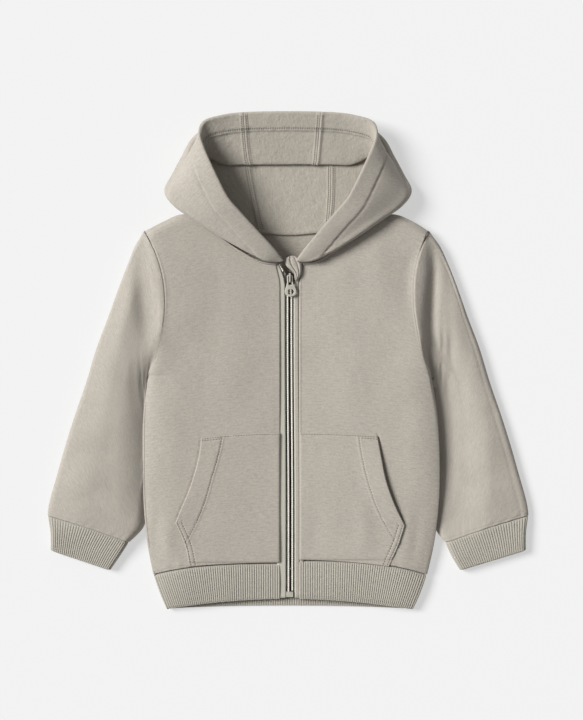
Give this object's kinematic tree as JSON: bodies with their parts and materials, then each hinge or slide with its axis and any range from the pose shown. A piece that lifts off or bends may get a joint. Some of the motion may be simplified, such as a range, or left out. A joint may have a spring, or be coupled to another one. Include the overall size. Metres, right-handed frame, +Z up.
{
  "type": "fleece sweatshirt",
  "caption": "Child's zip-through hooded sweatshirt in brushed fleece, laid flat, with a split front pocket, rib cuffs and rib hem.",
  "frame": {"origin": "on the table, under the middle of the garment as it lies", "axes": "+X to the wearer's left, +Y from the hem to the hood, +Z up from the table through the back and then the front"},
  "size_m": [0.4942, 0.5142, 0.0421],
  "materials": {
    "fleece": "melange jersey, brushed inside",
    "rib": "fine rib knit",
    "zip_tape": "woven tape",
    "zip_metal": "satin, warm grey"
  },
  "bodies": {
    "garment": {"back_panel": "fleece", "front_right": "fleece", "front_left": "fleece", "sleeve_right": "fleece", "sleeve_left": "fleece", "cuff_right": "rib", "cuff_left": "rib", "hem_rib": "rib", "hood_right_side": "fleece", "hood_centre": "fleece", "hood_left_side": "fleece", "pocket_right": "fleece", "pocket_left": "fleece", "zip_tape_right": "zip_tape", "zip_tape_left": "zip_tape", "zip_chain_right": "zip_metal", "zip_chain_left": "zip_metal", "zip_slider": "zip_metal", "zip_box": "zip_metal", "zip_guard": "fleece"},
    "pull_tab": {"zip_puller": "zip_metal"}
  },
  "joints": [
    {"name": "pull_tab_hinge", "type": "hinge", "parent": "garment", "child": "pull_tab", "pos_m": [0.0017, 0.0877, 0.0146], "axis": [-1, 0, 0], "range_deg": [0, 150]}
  ]
}
